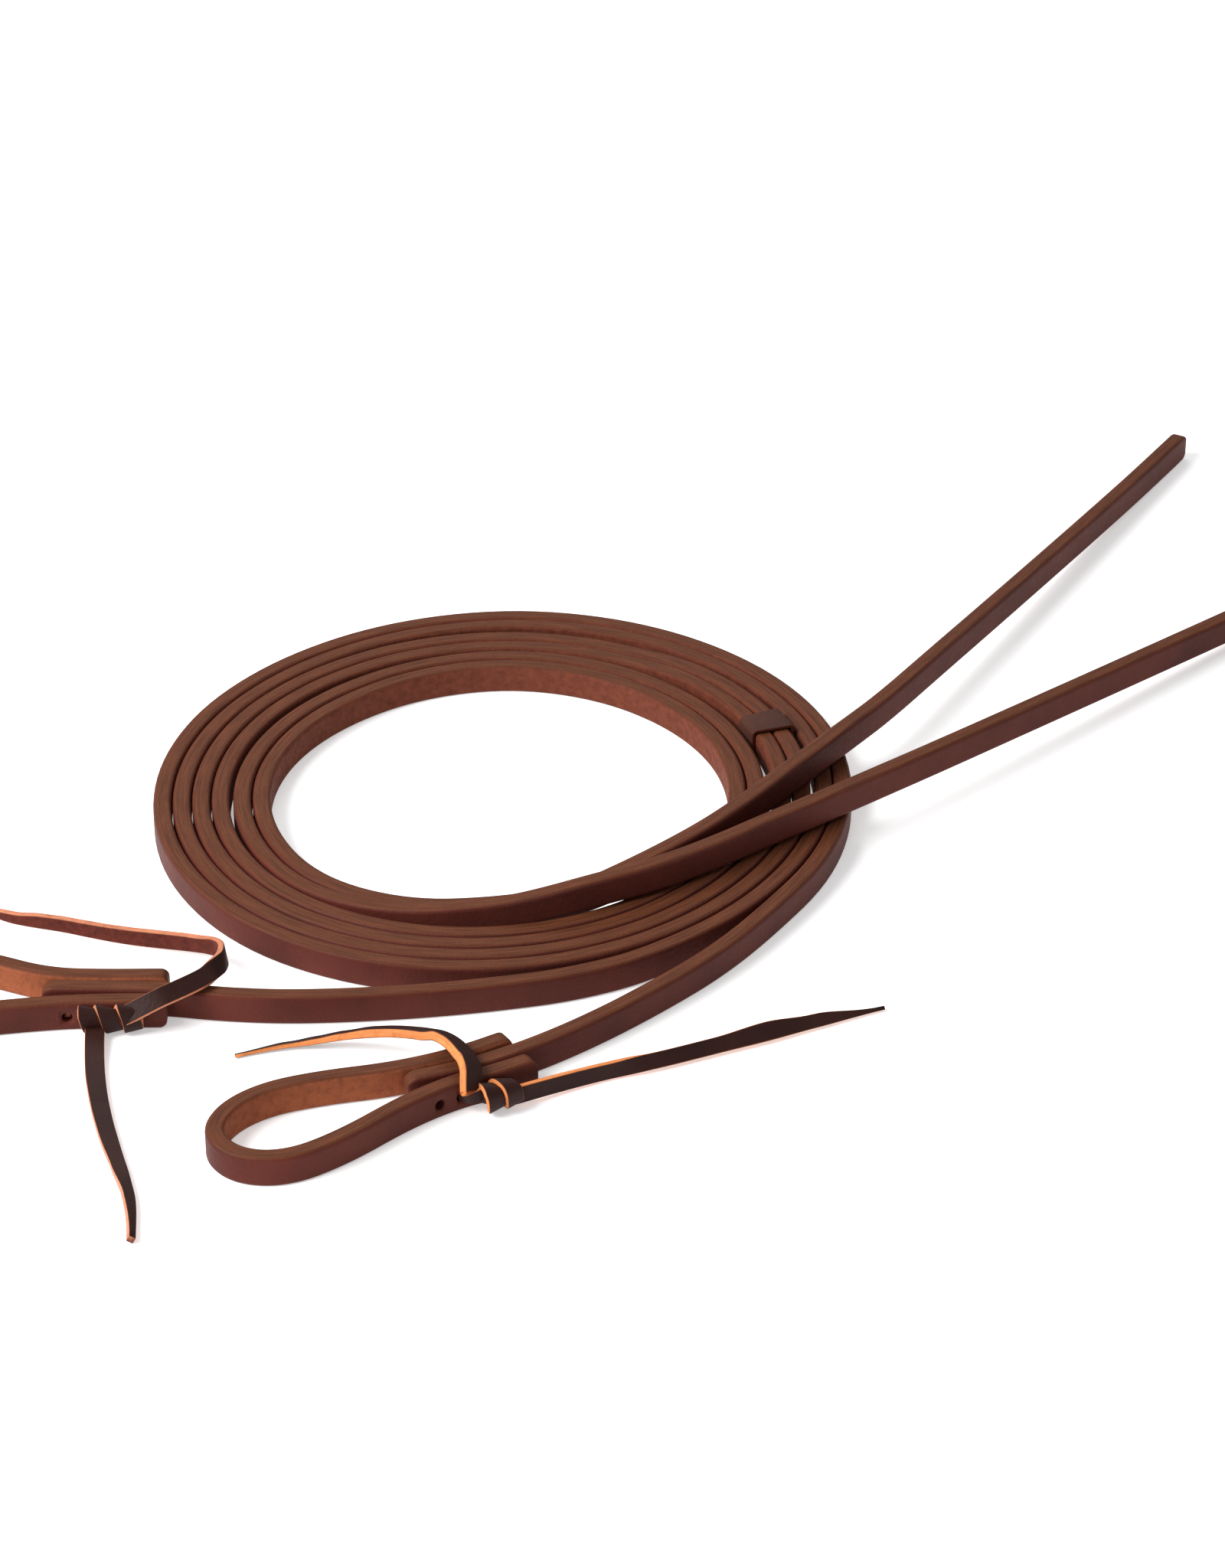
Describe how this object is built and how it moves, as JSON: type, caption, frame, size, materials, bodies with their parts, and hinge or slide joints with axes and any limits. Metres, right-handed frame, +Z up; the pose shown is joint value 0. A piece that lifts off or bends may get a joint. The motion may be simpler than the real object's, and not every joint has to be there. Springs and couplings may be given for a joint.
{
  "type": "split reins",
  "caption": "Leather split reins on edge in a double coil, with looped bit ends, water-tie laces through punched holes and a sliding leather keeper.",
  "frame": {"origin": "the coil's upright axis on the surface the reins stand on", "axes": "+Z up, +X to the right along the longest side, +Y away from the bit ends towards the tails"},
  "size_m": [0.4888, 0.4727, 0.0199],
  "materials": {
    "rein_leather": "oiled, smooth grain",
    "lace_leather": "waxed dark lace with pale cut edges",
    "keeper_leather": "oiled, smooth grain"
  },
  "bodies": {
    "reins": {"rein_a": "rein_leather", "rein_b": "rein_leather", "bit_loop_a": "rein_leather", "bit_loop_b": "rein_leather", "tie_knot_a": "lace_leather", "tie_knot_b": "lace_leather", "tie_pin_a": "lace_leather", "tie_pin_b": "lace_leather", "tie_over_a": "lace_leather", "tie_over_b": "lace_leather", "tie_down_a": "lace_leather", "tie_down_b": "lace_leather"},
    "keeper": {"keeper": "keeper_leather"}
  },
  "joints": [
    {"name": "keeper_slide", "type": "hinge", "parent": "reins", "child": "keeper", "pos_m": [0, 0, 0], "axis": [0, 0, 1], "range_deg": [-8, 17]}
  ]
}
